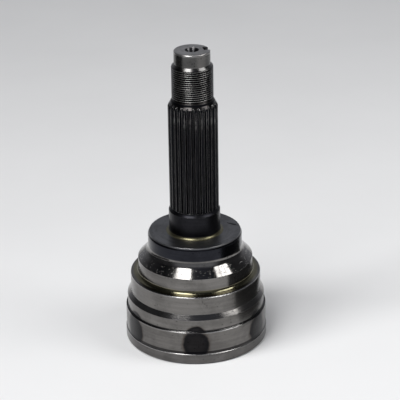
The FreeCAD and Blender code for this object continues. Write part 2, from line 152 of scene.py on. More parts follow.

# Shoulder at the ends of the spline's teeth, steeper than the cone that carries it: its
# heights, what it gains over them in metres, and its coat of oil. Then the painted highlight
# on the teeth below it: its heights, its softness, the radii of the teeth's crowns, and the
# rate and the values of the noise that breaks it up. Last, where edges are less worn.
SHOULDER_FOOT_MM = 146.4
SHOULDER_TOP_MM = 148.0
SHOULDER_TILT = 0.00049
SHOULDER_COAT = 0.5
PAINTED_SHINE_MM = (SPLINE_TOP_MM - 8.0, SPLINE_TOP_MM - 5.5)
PAINTED_SHINE_SOFT_MM = 3.5
TOOTH_CROWN_MM = (14.0, 14.2)
PAINTED_SHINE_PATCH_RATE = 330.0
PAINTED_SHINE_PATCHES = (0.42, 0.6)
LESS_WORN_MM = (JOURNAL_TOP_MM, SPLINE_TOP_MM - 9.0)

# Plain end: the directions (as cosines) and the heights of a highlight painted on its side
# towards +X, and the radii between which painted shade darkens its centre hole.
PAINTED_STREAK_COSINE = (0.42, 0.55)
PAINTED_STREAK_SOFT = 0.3
PAINTED_STREAK_MM = (PILOT_FOOT_MM + 1.0, STUB_END_MM - 0.5)
CENTRE_HOLE_SHADE_MM = (4.2, 4.0)

# Slot for staking the nut: its direction, its width, how near the axis it comes and its
# foot. Then how far the painted shade in it stays inside the end face and the wall of the
# plain end, and how far it goes past the slot's sides.
STAKE_SLOT_DEG = 15.0
STAKE_SLOT_WIDTH_MM = 5.0
STAKE_SLOT_START_MM = 4.0
STAKE_SLOT_FOOT_MM = PILOT_FOOT_MM - 3.0
UNDER_END_MM = 0.05
UNDER_WALL_MM = 0.03
PAST_SIDES_MM = 0.02

# Stain on the bearing face: its middle, its half sizes, the way that it runs, the rate of
# its ragged edge and how ragged it is, and where it fades.
STAIN_MM = (22.5, 6.3)
STAIN_HALF_MM = (3.4, 0.95)
STAIN_TURN_DEG = -32.0
STAIN_PATCH_RATE = 700.0
STAIN_RAGGED = 0.45
STAIN_EDGE = (0.85, 1.1)

# Noise values over which a tone changes, what oil adds to the roughness of the turned steel,
# its coat on the dry and the oiled patches of the stub, and the coat's own roughness.
TONE_SPAN = (0.3, 0.7)
OIL_ROUGHNESS = 0.05
STUB_COAT = (0.03, 0.12)
COAT_ROUGHNESS = 0.12


# ---------------------------------------------------------------- node graphs

class Graph:
    """Adds nodes to one tree and joins them, so that a finish reads as a list of steps."""

    def __init__(self, tree):
        self.tree = tree

    def add(self, kind, **settings):
        """A new node with its settings."""
        node = self.tree.nodes.new(kind)
        for name, value in settings.items():
            setattr(node, name, value)
        return node

    def feed(self, socket, value):
        """Joins a socket to the input, or writes a plain value on it."""
        if isinstance(value, bpy.types.NodeSocket):
            self.tree.links.new(value, socket)
        else:
            socket.default_value = value

    def wire(self, node, **values):
        """Feeds a node's inputs by their names, with _ for a space, and gives its outputs."""
        for name, value in values.items():
            self.feed(node.inputs[name.replace("_", " ")], value)
        return node.outputs

    def maths(self, operation, *values, clamp=False):
        """The result of a Math node."""
        node = self.add("ShaderNodeMath", operation=operation, use_clamp=clamp)
        for socket, value in zip(node.inputs, values):
            self.feed(socket, value)
        return node.outputs["Value"]

    def product(self, first, *others):
        """Numbers or masks multiplied together."""
        for other in others:
            first = self.maths("MULTIPLY", first, other)
        return first

    def above(self, value, limit):
        """One where a value is over a limit, and nought elsewhere."""
        return self.maths("GREATER_THAN", value, limit)

    def below(self, value, limit):
        """One where a value is under a limit, and nought elsewhere."""
        return self.maths("LESS_THAN", value, limit)

    def outside(self, mask):
        """One where a mask is nought, and nought where it is one."""
        return self.maths("SUBTRACT", 1.0, mask)

    def length(self, first, second):
        """Length of the line with two sides at a right angle."""
        return self.maths("SQRT", self.maths(
            "ADD", self.product(first, first), self.product(second, second)))

    def scaled(self, vector, factor):
        """A vector or a colour times a number."""
        node = self.add("ShaderNodeVectorMath", operation="SCALE")
        return self.wire(node, Vector=vector, Scale=factor)["Vector"]

    def ramp_between(self, value, start, end, low=0.0, high=1.0, shape="SMOOTHSTEP"):
        """A value carried from start..end to low..high, and held outside."""
        node = self.add("ShaderNodeMapRange", interpolation_type=shape, clamp=True)
        return self.wire(
            node, Value=value, From_Min=start, From_Max=end, To_Min=low, To_Max=high)["Result"]

    def straight(self, value, start, end, low, high):
        """The same, without easing in and out."""
        return self.ramp_between(value, start, end, low, high, "LINEAR")

    def band(self, value, low, high, soft):
        """One between low and high, with soft edges outside them."""
        rise = self.ramp_between(value, low - soft, low)
        fall = self.ramp_between(value, high, high + soft, 1.0, 0.0)
        return self.product(rise, fall)

    def bands(self, value, spans, soft):
        """One in any of several bands."""
        mask = 0.0
        for low, high in spans:
            mask = self.maths("MAXIMUM", mask, self.band(value, low, high, soft))
        return mask

    def mix(self, factor, first, second):
        """Two colours mixed."""
        node = self.add("ShaderNodeMix", data_type="RGBA")
        self.feed(node.inputs[0], factor)
        self.feed(node.inputs[6], first)
        self.feed(node.inputs[7], second)
        return node.outputs[2]

    def paint(self, colour, mask, strength, over):
        """A colour with another laid over it where a mask is, at a strength."""
        if not isinstance(over, bpy.types.NodeSocket):
            over = opaque(over)
        return self.mix(self.product(mask, strength), colour, over)

    def blend(self, factor, first, second):
        """Two numbers mixed."""
        node = self.add("ShaderNodeMix", data_type="FLOAT")
        self.feed(node.inputs[0], factor)
        self.feed(node.inputs[2], first)
        self.feed(node.inputs[3], second)
        return node.outputs[0]

    def stops(self, value, entries):
        """A colour ramp of (place, colour) entries."""
        node = self.add("ShaderNodeValToRGB")
        elements = node.color_ramp.elements
        while len(elements) < len(entries):
            elements.new(0.5)
        for element, (place, colour) in zip(elements, entries):
            element.position = place
            element.color = opaque(colour)
        return self.wire(node, Fac=value)["Color"]

    def noise(self, vector, scale, detail, roughness=0.5, distortion=0.0):
        """Fractal noise from 0 to 1."""
        node = self.add("ShaderNodeTexNoise", noise_dimensions="3D")
        return self.wire(
            node, Vector=vector, Scale=scale, Detail=detail, Roughness=roughness,
            Distortion=distortion)["Fac"]

    def place(self, group, **values):
        """A shared node group, with its own values."""
        return self.wire(self.add("ShaderNodeGroup", node_tree=group), **values)


def opaque(colour):
    """A colour with its alpha, as the sockets of colour want it."""
    return (colour[0], colour[1], colour[2], 1.0)


def grey(value):
    """A grey colour."""
    return (value, value, value)


# Kinds of socket of the node groups.
NUMBER = "NodeSocketFloat"
VECTOR = "NodeSocketVector"


def new_group(name, numbers, outputs, at_point=True):
    """An empty node group: its graph, its input sockets and the sockets of its output.

    Its inputs are the point, where it needs one, and numbers with their defaults. Its
    outputs are given with their kinds.
    """
    tree = bpy.data.node_groups.new(name, "ShaderNodeTree")
    if at_point:
        tree.interface.new_socket("Point", in_out="INPUT", socket_type=VECTOR)
    for label, default in numbers.items():
        socket = tree.interface.new_socket(label, in_out="INPUT", socket_type=NUMBER)
        socket.default_value = default
    for label, kind in outputs.items():
        tree.interface.new_socket(label, in_out="OUTPUT", socket_type=kind)
    graph = Graph(tree)
    return graph, graph.add("NodeGroupInput").outputs, graph.add("NodeGroupOutput").inputs


# Radius that stands in for nought where the axis is met.
LEAST_RADIUS_MM = 0.001


def lathe_place(graph, point):
    """Radius and height in millimetres, and the sine and cosine of the direction."""
    split = graph.add("ShaderNodeSeparateXYZ")
    graph.feed(split.inputs[0], graph.scaled(point, MM_PER_M))
    x, y, height = split.outputs
    radius = graph.length(x, y)
    safe = graph.maths("MAXIMUM", radius, LEAST_RADIUS_MM)
    return {
        "x": x,
        "y": y,
        "height": height,
        "radius": radius,
        "cosine": graph.maths("DIVIDE", x, safe),
        "sine": graph.maths("DIVIDE", y, safe),
    }


# Each output of the turned grain: its share of the rings' rate, and its noise detail.
GRAIN_LAYERS = (("Height", 1.0, 3.0), ("Tone", 0.12, 2.0))


def build_turned_grain():
    """Rings that a lathe or grinder leaves: fine height and a broad change of tone."""
    graph, given, result = new_group(
        "turned_grain", {"Rings per mm": 6.0, "Wander": 1.5}, {"Height": NUMBER, "Tone": NUMBER})
    at = lathe_place(graph, given["Point"])
    across = graph.product(at["cosine"], given["Wander"])
    along = graph.product(at["sine"], given["Wander"])
    for name, share, detail in GRAIN_LAYERS:
        rate = graph.product(given["Rings per mm"], share)
        spot = graph.wire(
            graph.add("ShaderNodeCombineXYZ"),
            X=graph.product(at["radius"], rate), Y=graph.product(at["height"], rate), Z=across)
        noise = graph.wire(
            graph.add("ShaderNodeTexNoise", noise_dimensions="4D"),
            Vector=spot["Vector"], W=along, Scale=1.0, Detail=detail)
        graph.feed(result[name], noise["Fac"])
    return graph.tree


# Samples of the rounding, the cosines between plain and rounded normals at which an edge
# starts and is full, and the noise values and the least share of its broken wear.
EDGE_SAMPLES = 10
EDGE_TURN = (0.995, 0.85)
EDGE_PATCHES = (0.3, 0.6)
EDGE_LEAST = 0.6


def build_worn_edges():
    """Edges rounded in the shading, and a broken mask of where handling has worn them."""
    graph, given, result = new_group(
        "worn_edges", {"Width": 0.0004, "Break up": 300.0}, {"Edge": NUMBER, "Rounded": VECTOR})
    bevel = graph.add("ShaderNodeBevel", samples=EDGE_SAMPLES)
    rounded = graph.wire(bevel, Radius=given["Width"])["Normal"]
    plain = graph.add("ShaderNodeNewGeometry").outputs["Normal"]
    agree = graph.add("ShaderNodeVectorMath", operation="DOT_PRODUCT")
    graph.feed(agree.inputs[0], rounded)
    graph.feed(agree.inputs[1], plain)
    turn = graph.ramp_between(agree.outputs["Value"], *EDGE_TURN)
    patchy = graph.noise(given["Point"], given["Break up"], 3.0)
    worn = graph.product(turn, graph.ramp_between(patchy, *EDGE_PATCHES, EDGE_LEAST, 1.0))
    graph.feed(result["Edge"], worn)
    graph.feed(result["Rounded"], rounded)
    return graph.tree


# Oil patches: how much finer the small ones are and their share, and the middle and the
# softness of the value at which oil starts.
FINE_PATCHES = 9.0
FINE_SHARE = 0.3
FILM_MIDDLE = 1.15
FILM_SOFT = 0.13


def build_oil_film():
    """Patches of thin oil, large and small, from dry at 0 to wet at 1."""
    graph, given, result = new_group(
        "oil_film", {"Patch": 60.0, "Spread": 0.5}, {"Film": NUMBER})
    large = graph.noise(given["Point"], given["Patch"], 3.0, roughness=0.55, distortion=0.4)
    small = graph.noise(given["Point"], graph.product(given["Patch"], FINE_PATCHES), 3.0)
    both = graph.maths("ADD", large, graph.product(small, FINE_SHARE))
    centre = graph.maths("SUBTRACT", FILM_MIDDLE, given["Spread"])
    low = graph.maths("SUBTRACT", centre, FILM_SOFT)
    high = graph.maths("ADD", centre, FILM_SOFT)
    graph.feed(result["Film"], graph.ramp_between(both, low, high))
    return graph.tree


# Least and greatest radius of a speck, as a share of its cell, and its soft rim.
SPECK_SIZES = (0.15, 0.42)
SPECK_RIM = 0.5


def build_pits():
    """Sparse specks and nicks: a mask, and their depth."""
    graph, given, result = new_group(
        "pits", {"Cells per m": 900.0, "Share": 0.08}, {"Mask": NUMBER, "Height": NUMBER})
    voronoi = graph.add("ShaderNodeTexVoronoi", feature="F1")
    cells = graph.wire(voronoi, Vector=given["Point"], Scale=given["Cells per m"])
    chance = graph.wire(graph.add("ShaderNodeSeparateColor"), Color=cells["Color"])
    chosen = graph.below(chance["Red"], given["Share"])
    size = graph.straight(chance["Green"], 0.0, 1.0, *SPECK_SIZES)
    reach = graph.maths("DIVIDE", cells["Distance"], size)
    body = graph.maths("SUBTRACT", 1.0, reach, clamp=True)
    mask = graph.product(graph.ramp_between(body, 0.0, SPECK_RIM), chosen)
    graph.feed(result["Mask"], mask)
    graph.feed(result["Height"], graph.product(mask, -1.0))
    return graph.tree


# Uneven edge of the heat marks: rate of the noise, its values and what they add.
HEAT_WOBBLE_RATE = 190.0
HEAT_WOBBLE_SPAN = (0.25, 0.75)
HEAT_WOBBLE = 0.10


def build_heat_mark():
    """Induction-hardening marks on the bell, one outside each ball track."""
    graph, given, result = new_group("heat_mark", {}, {"Depth": NUMBER})
    at = lathe_place(graph, given["Point"])
    angle = graph.maths("ARCTAN2", at["y"], at["x"])
    pitch = math.tau / TRACKS
    first = math.radians(FIRST_TRACK_DEG) - pitch / 2
    turned = graph.maths("SUBTRACT", angle, first)
    offset = graph.maths("SUBTRACT", graph.maths("FLOORED_MODULO", turned, pitch), pitch / 2)
    arc = graph.product(offset, BOOT_SEAT_RADIUS_MM)
    wobble = graph.noise(given["Point"], HEAT_WOBBLE_RATE, 2.0)
    wobble = graph.straight(wobble, *HEAT_WOBBLE_SPAN, -HEAT_WOBBLE, HEAT_WOBBLE)
    lobes = []
    for centre, half_width, half_height in HEAT_LOBES_MM:
        side = graph.maths("DIVIDE", arc, half_width)
        rise = graph.maths("DIVIDE", graph.maths("SUBTRACT", at["height"], centre), half_height)
        lobes.append(graph.maths("ADD", graph.length(side, rise), wobble))
    on_collar = graph.above(at["height"], BOOT_SEAT_TOP_MM - FACE_LAP_MM)
    depth = graph.blend(on_collar, *lobes)
    on_lip = graph.ramp_between(at["height"], LIP_TOP_MM, LIP_TOP_MM - HEAT_LIP_MM)
    graph.feed(result["Depth"], graph.maths("ADD", depth, on_lip))
    return graph.tree


def build_mottle():
    """Tone from the rings of the grain, times that of oil patches and of specks."""
    graph, given, result = new_group(
        "mottle",
        {
            "Rings": 0.5,
            "Film": 0.0,
            "Pits": 0.0,
            "Ring low": 0.88,
            "Ring high": 1.1,
            "Dry": 1.0,
            "Oiled": 0.8,
            "Pitted": 0.5,
        },
        {"Tone": NUMBER},
        at_point=False,
    )
    graph.feed(result["Tone"], graph.product(
        graph.straight(given["Rings"], *TONE_SPAN, given["Ring low"], given["Ring high"]),
        graph.blend(given["Film"], given["Dry"], given["Oiled"]),
        graph.blend(given["Pits"], 1.0, given["Pitted"]),
    ))
    return graph.tree


GROUP_BUILDERS = {
    "turned_grain": build_turned_grain,
    "worn_edges": build_worn_edges,
    "oil_film": build_oil_film,
    "pits": build_pits,
    "heat_mark": build_heat_mark,
    "mottle": build_mottle,
}


def shared(name):
    """A shared node group, built the first time it is asked for."""
    return bpy.data.node_groups.get(name) or GROUP_BUILDERS[name]()


# ---------------------------------------------------------------- masks of the outer race

def inside_masks(graph, at):
    """One inside the bell, and one in the well behind its bore."""
    (low, wide), (high, narrow) = INSIDE_LINE_MM
    limit = graph.straight(at["height"], low, high, wide, narrow)
    inside = graph.product(
        graph.below(at["radius"], limit), graph.below(at["height"], WELL_END_MM))
    return inside, graph.ramp_between(at["height"], *WELL_START_MM)


def painted_shine_mask(graph, at, point):
    """Highlight painted as lighter patches on the teeth's crowns, near the top of the spline."""
    return graph.product(
        graph.band(at["height"], *PAINTED_SHINE_MM, PAINTED_SHINE_SOFT_MM),
        graph.ramp_between(at["radius"], *TOOTH_CROWN_MM),
        graph.ramp_between(graph.noise(point, PAINTED_SHINE_PATCH_RATE, 1.0), *PAINTED_SHINE_PATCHES),
    )


def oil_corner_mask(graph, at):
    """Corners where oil gathers."""
    caught = 0.0
    for foot, rise, soft, start, full in OIL_CORNERS_MM:
        held = graph.product(
            graph.band(at["height"], foot - OIL_LAP_MM, foot + rise, soft),
            graph.ramp_between(at["radius"], start, full),
        )
        caught = graph.maths("MAXIMUM", caught, held)
    return caught


def painted_streak_mask(graph, at):
    """A highlight painted as a lighter band on the side of the plain end towards +X."""
    return graph.product(
        graph.band(at["cosine"], *PAINTED_STREAK_COSINE, PAINTED_STREAK_SOFT),
        graph.band(at["height"], *PAINTED_STREAK_MM, 0.5),
    )


def centre_hole_shade_mask(graph, at):
    """Painted shade in the centre hole in the end of the stub."""
    return graph.product(
        graph.ramp_between(at["radius"], *CENTRE_HOLE_SHADE_MM),
        graph.above(at["height"], PILOT_FOOT_MM - 1.0),
    )


def stake_slot_shade_mask(graph, at):
    """Painted shade on the floor and sides of the slot milled for staking the nut."""
    turn = math.radians(STAKE_SLOT_DEG)
    across = graph.maths("ABSOLUTE", graph.maths(
        "SUBTRACT",
        graph.product(at["y"], math.cos(turn)),
        graph.product(at["x"], math.sin(turn)),
    ))
    return graph.product(
        graph.below(across, STAKE_SLOT_WIDTH_MM / 2 + PAST_SIDES_MM),
        graph.above(at["x"], STAKE_SLOT_START_MM),
        graph.above(at["height"], STAKE_SLOT_FOOT_MM),
        graph.below(at["height"], STUB_END_MM - UNDER_END_MM),
        graph.below(at["radius"], PILOT_RADIUS_MM - UNDER_WALL_MM),
    )


def stain_mask(graph, at, point):
    """A ragged stain on the bearing face."""
    off_x = graph.maths("SUBTRACT", at["x"], STAIN_MM[0])
    off_y = graph.maths("SUBTRACT", at["y"], STAIN_MM[1])
    turn = math.radians(STAIN_TURN_DEG)
    half_length, half_width = STAIN_HALF_MM
    along = graph.maths(
        "ADD",
        graph.product(off_x, math.cos(turn) / half_length),
        graph.product(off_y, math.sin(turn) / half_length),
    )
    across = graph.maths(
        "SUBTRACT",
        graph.product(off_y, math.cos(turn) / half_width),
        graph.product(off_x, math.sin(turn) / half_width),
    )
    ragged = graph.straight(
        graph.noise(point, STAIN_PATCH_RATE, 2.0), *TONE_SPAN, -STAIN_RAGGED, STAIN_RAGGED)
    spot = graph.maths("ADD", graph.length(along, across), ragged)
    return graph.product(
        graph.ramp_between(spot, *STAIN_EDGE, 1.0, 0.0),
        graph.above(at["height"], FLANGE_CHAMFER_MM),
        graph.below(at["height"], BEARING_FACE_MM + 0.2),
    )


# ---------------------------------------------------------------- finishes

def new_finish(name):
    """A material with nodes: its graph, its shader and the point in the object's frame."""
    material = bpy.data.materials.new(name)
    material.use_nodes = True
    graph = Graph(material.node_tree)
    shader = material.node_tree.nodes["Principled BSDF"]
    point = graph.add("ShaderNodeTexCoord").outputs["Object"]
    return material, graph, shader, point


def finish_bumps(graph, shader, layers, normal):
    """Stacks bumps of (height, distance, strength) over a normal and feeds the shader."""
    for height, distance, strength in layers:
        bump = graph.add("ShaderNodeBump")
        if normal is not None:
            graph.feed(bump.inputs["Normal"], normal)
        normal = graph.wire(bump, Height=height, Distance=distance, Strength=strength)["Normal"]
    graph.feed(shader.inputs["Normal"], normal)


def along_axis(graph, at, zones):
    """The colour of each zone along the axis, from (top height, colour), narrowly joined."""
    soft = ZONE_JOIN_MM / STUB_END_MM
    entries = []
    start = 0.0
    for top, colour in zones:
        end = top / STUB_END_MM
        entries.append((min(start + soft, 1.0), colour))
        entries.append((max(min(end - soft, 1.0), 0.0), colour))
        start = end
    return graph.stops(graph.maths("DIVIDE", at["height"], STUB_END_MM), entries)


def mottled(graph, colour, grain, film, pits, **tones):
    """A colour with the mottle of its grain, its oil and its specks."""
    tone = graph.place(
        shared("mottle"), Rings=grain["Tone"], Film=film, Pits=pits["Mask"], **tones)["Tone"]
    return graph.scaled(colour, tone)


def outer_race_finish(steel):
    """Bright turned bell, dark oiled stub, heat marks, and darker ground inside."""
    material, graph, shader, point = new_finish("turned_forging")
    at = lathe_place(graph, point)
    height = at["height"]
    grain = graph.place(shared("turned_grain"), Point=point, Rings_per_mm=5.0, Wander=1.2)
    edges = graph.place(shared("worn_edges"), Point=point, Width=0.00035, Break_up=260.0)
    film = graph.place(shared("oil_film"), Point=point, Patch=70.0, Spread=0.5)["Film"]
    pits = graph.place(shared("pits"), Point=point, Cells_per_m=800.0, Share=0.10)
    specks = graph.place(shared("pits"), Point=point, Cells_per_m=950.0, Share=0.42)
    heat = graph.place(shared("heat_mark"), Point=point)["Depth"]

    inside, in_well = inside_masks(graph, at)
    outside = graph.outside(inside)
    shoulder = graph.band(height, SHOULDER_FOOT_MM, SHOULDER_TOP_MM, ZONE_JOIN_MM)
    marked = graph.product(graph.ramp_between(heat, *HEAT_EDGE, 1.0, 0.0), outside)
    # Painted shade in the corners over the turned edges, and a painted highlight on those edges,
    # kept off the heat marks.
    painted_corner_shade = graph.product(graph.bands(height, CORNER_SHADE_MM, 0.15), outside)
    painted_edge_highlight = graph.product(
        graph.bands(height, EDGE_HIGHLIGHT_MM, 0.1),
        outside,
        graph.outside(graph.product(marked, 0.85)),
    )
    heat_colour = graph.stops(
        graph.maths("DIVIDE", heat, HEAT_DEPTH),
        [(place, getattr(steel, name)) for place, name in HEAT_STOPS],
    )

    # What lies over the zones' colours, from the lowest up: mask, strength, colour.
    colour = along_axis(
        graph, at, [(top, getattr(steel, name)) for top, name in COLOUR_ZONES])
    for mask, strength, over in (
        (shoulder, 1.0, steel.thread),
        # painted highlight on the spline's crowns, in the plain end's lighter colour
        (painted_shine_mask(graph, at, point), 0.7, steel.pilot),
        (inside, 1.0, graph.mix(in_well, opaque(steel.bore), opaque(steel.well))),
        (graph.product(oil_corner_mask(graph, at), outside), 0.9, steel.oil),
        # painted highlight on the side of the plain end towards +X
        (painted_streak_mask(graph, at), 0.6, steel.cone),
        # painted shade in the centre hole, in the journal's dark colour
        (centre_hole_shade_mask(graph, at), 0.85, steel.journal),
        # painted shade in the staking slot, in the journal's dark colour
        (stake_slot_shade_mask(graph, at), 0.9, steel.journal),
        (stain_mask(graph, at, point), 0.95, steel.spline),
        (marked, 0.93, heat_colour),
        # painted shade in the corners, in the heat ring's dark colour
        (painted_corner_shade, 0.75, steel.heat_ring),
        # painted highlight on the turned edges, in the colour of bare steel
        (painted_edge_highlight, 0.55, steel.worn),
    ):
        colour = graph.paint(colour, mask, strength, over)
    colour = mottled(
        graph, colour, grain, film, pits,
        Ring_low=0.86, Ring_high=1.12, Dry=1.08, Oiled=0.86, Pitted=0.35)
    wear = graph.blend(graph.band(height, *LESS_WORN_MM, 3.0), 0.6, 0.3)
    colour = graph.paint(colour, edges["Edge"], wear, steel.worn)

    # Roughness in the same way: mask, roughness.
    rough = along_axis(graph, at, [(top, grey(value)) for top, value in ROUGHNESS_ZONES])
    rough = graph.maths("ADD", rough, graph.product(film, OIL_ROUGHNESS))
    for mask, value in (
        (shoulder, 0.10),
        (inside, graph.blend(in_well, 0.22, 0.5)),
        (marked, 0.27),
        (edges["Edge"], 0.14),
    ):
        rough = graph.blend(mask, rough, value)

    # A coat of oil on the shoulder and, thinner, along the stub.
    oiled = graph.product(
        graph.band(height, *OILED_STUB_MM, 0.4), graph.blend(film, *STUB_COAT))
    coat = graph.maths("MAXIMUM", graph.product(shoulder, SHOULDER_COAT), oiled)
    graph.wire(
        shader, Metallic=1.0, Base_Color=colour, Roughness=rough,
        Coat_Weight=coat, Coat_Roughness=COAT_ROUGHNESS)

    on_cone = graph.band(height, NECK_TOP_MM, CONE_TOP_MM, 1.5)
    tilt = graph.straight(height, SHOULDER_FOOT_MM, SHOULDER_TOP_MM, 1.0, 0.0)
    finish_bumps(
        graph,
        shader,
        (
            (grain["Height"], 0.00001, 0.35),
            (pits["Height"], 0.00003, 0.6),
            (graph.product(specks["Height"], on_cone), 0.0002, 1.0),
            (tilt, SHOULDER_TILT, 1.0),
        ),
        edges["Rounded"],
    )
    return material


def plain_part_finish(name, colour, worn, roughness, rings, oil_share, grain_bump):
    """A turned or ground part in one colour, with grain, oil patches, specks and worn edges."""
    material, graph, shader, point = new_finish(name)
    grain = graph.place(shared("turned_grain"), Point=point, Rings_per_mm=rings, Wander=2.0)
    edges = graph.place(shared("worn_edges"), Point=point, Width=0.0003, Break_up=400.0)
    film = graph.place(shared("oil_film"), Point=point, Patch=120.0, Spread=0.5)["Film"]
    pits = graph.place(shared("pits"), Point=point, Cells_per_m=1100.0, Share=0.06)
    tinted = mottled(
        graph, tuple(colour), grain, film, pits,
        Ring_low=0.88, Ring_high=1.1, Dry=1.0, Oiled=1.0 - oil_share, Pitted=0.5)
    rough = graph.blend(film, roughness, roughness * 0.7)
    graph.wire(
        shader, Metallic=1.0,
        Base_Color=graph.paint(tinted, edges["Edge"], 0.6, worn),
        Roughness=graph.blend(edges["Edge"], rough, 0.2))
    finish_bumps(
        graph,
        shader,
        ((grain["Height"], 0.00001, grain_bump), (pits["Height"], 0.00002, 0.5)),
        edges["Rounded"],
    )
    return material


# Depths under the crown between which the thread goes from oiled to bright, and how bright
# the cone at its end is.
CREST_DEPTHS_MM = (0.32, 0.04)
END_CONE_SHINE = 0.45


def thread_finish(steel, thread):
    """Rolled thread: dark oil in the roots and bright crests."""
    material, graph, shader, point = new_finish("rolled_thread")
    at = lathe_place(graph, point)
    film = graph.place(shared("oil_film"), Point=point, Patch=150.0, Spread=0.5)["Film"]
    pits = graph.place(shared("pits"), Point=point, Cells_per_m=2500.0, Share=0.04)
    grain = graph.place(shared("turned_grain"), Point=point, Rings_per_mm=20.0, Wander=3.0)
    low, high = (thread.radius * MM_PER_M - depth for depth in CREST_DEPTHS_MM)
    cone = graph.above(at["height"], thread.top * MM_PER_M - 0.5)
    crest = graph.maths(
        "MAXIMUM",
        graph.ramp_between(at["radius"], low, high),
        graph.product(cone, END_CONE_SHINE),
    )
    colour = mottled(
        graph, graph.mix(crest, opaque(steel.thread), opaque(steel.crest)), grain, film, pits,
        Ring_low=0.8, Ring_high=1.15, Dry=1.1, Oiled=0.75, Pitted=0.5)
    graph.wire(
        shader, Metallic=1.0, Base_Color=colour, Roughness=graph.blend(film, 0.26, 0.19),
        Coat_Weight=graph.blend(film, 0.1, 0.5), Coat_Roughness=COAT_ROUGHNESS)
    finish_bumps(
        graph,
        shader,
        ((grain["Height"], 0.00001, 0.1), (pits["Height"], 0.00001, 0.3)),
        graph.add("ShaderNodeNewGeometry").outputs["Normal"],
    )
    return material


# Paper: rate of its mottle and what it does to the colour, rate of its fibre, and the
# roughness between which the fibre changes it.
MOTTLE_RATE = 9.0
PAPER_TONES = (0.985, 1.015)
FIBRE_RATE = 1500.0
PAPER_ROUGHNESS = (0.8, 0.9)


def floor_finish(stage):
    """Pale matt paper with a faint mottle, clear where it is looked at from below."""
    material, graph, shader, point = new_finish("pale_paper")
    tone = graph.straight(graph.noise(point, MOTTLE_RATE, 4.0), *TONE_SPAN, *PAPER_TONES)
    fibre = graph.noise(point, FIBRE_RATE, 2.0)
    graph.wire(
        shader, Base_Color=graph.scaled(tuple(stage.floor), tone),
        Roughness=graph.ramp_between(fibre, *TONE_SPAN, *PAPER_ROUGHNESS))
    finish_bumps(graph, shader, ((fibre, 0.00002, 0.3),), None)
    below = graph.add("ShaderNodeNewGeometry").outputs["Backfacing"]
    clear = graph.add("ShaderNodeBsdfTransparent")
    choice = graph.add("ShaderNodeMixShader")
    graph.feed(choice.inputs[0], below)
    graph.feed(choice.inputs[1], shader.outputs["BSDF"])
    graph.feed(choice.inputs[2], clear.outputs["BSDF"])
    surface = material.node_tree.nodes["Material Output"].inputs["Surface"]
    graph.feed(surface, choice.outputs["Shader"])
    return material


def card_finish():
    """Matt black card."""
    material = bpy.data.materials.new("black_card")
    material.use_nodes = True
    shader = material.node_tree.nodes["Principled BSDF"]
    shader.inputs["Base Color"].default_value = opaque(grey(0.02))
    shader.inputs["Roughness"].default_value = 0.9
    return material


def dress(node, material):
    """Puts one material on all of a CAD node."""
    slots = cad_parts[node].data.materials
    if not len(slots):
        slots.append(material)
    for index in range(len(slots)):
        slots[index] = material


# ---------------------------------------------------------------- nut thread

# Steps round each turn, how far the ridge is let into the core, how its root and its crown
# are eased, the lap of the end cone, and the angle from which an edge stays sharp.
STEPS_PER_TURN = 96
ROOT_SINK = 0.0001
ROOT_EASE = 0.00003
CROWN_EASES = (0.00005, 0.00014)
END_CONE_LAP = 0.0005
THREAD_SHARP_DEG = 50.0


def thread_section(thread):
    """Section of one turn as (share of the pitch, radius), from the lower root upwards."""
    low = thread.root_radius + ROOT_EASE
    crown = thread.radius
    upper = (
        (0.04, crown),
        (0.09, crown - CROWN_EASES[0]),
        (0.13, crown - CROWN_EASES[1]),
        (0.42, low + ROOT_EASE),
        (0.46, low),
        (0.50, thread.root_radius - ROOT_SINK),
    )
    return tuple((-share, radius) for share, radius in reversed(upper)) + upper


def crest_limit(thread, height):
    """Largest radius that the end chamfers of the thread leave at a height."""
    below = thread.top - height
    above = height - thread.foot
    root = thread.root_radius - ROOT_SINK
    top = root + max(below, 0.0) * thread.chamfer_slope
    foot = root + max(above, 0.0) * thread.chamfer_slope
    return min(top, foot)


def turned_point(radius, step, steps, height):
    """The point at a radius and a height, some steps round a turn."""
    angle = math.tau * step / steps
    return (radius * math.cos(angle), radius * math.sin(angle), height)


def sweep_faces(first, across, sections, closed):
    """Faces that join the sections of a sweep in turn, and the last to the first if closed."""
    count = across * sections
    faces = []
    for step in range(sections if closed else sections - 1):
        for place in range(across):
            near = step * across + place
            side = step * across + (place + 1) % across
            corners = (near, near + across, side + across, side)
            faces.append(tuple(first + corner % count for corner in corners))
    return faces


def add_end_cone(thread, points, faces):
    """The chamfer of the thread's end, run up at 45 degrees onto the plain end."""
    inner = PILOT_RADIUS_MM / MM_PER_M
    rise = thread.root_radius - inner
    lap = END_CONE_LAP
    section = (
        (inner - ROOT_SINK, thread.top + rise + ROOT_SINK),
        (thread.root_radius + lap, thread.top - lap),
        (thread.root_radius - ROOT_SINK, thread.top - lap),
        (inner - ROOT_SINK, thread.top - ROOT_SINK),
    )
    faces.extend(sweep_faces(len(points), len(section), STEPS_PER_TURN, True))
    for step in range(STEPS_PER_TURN):
        for radius, height in section:
            points.append(turned_point(radius, step, STEPS_PER_TURN, height))


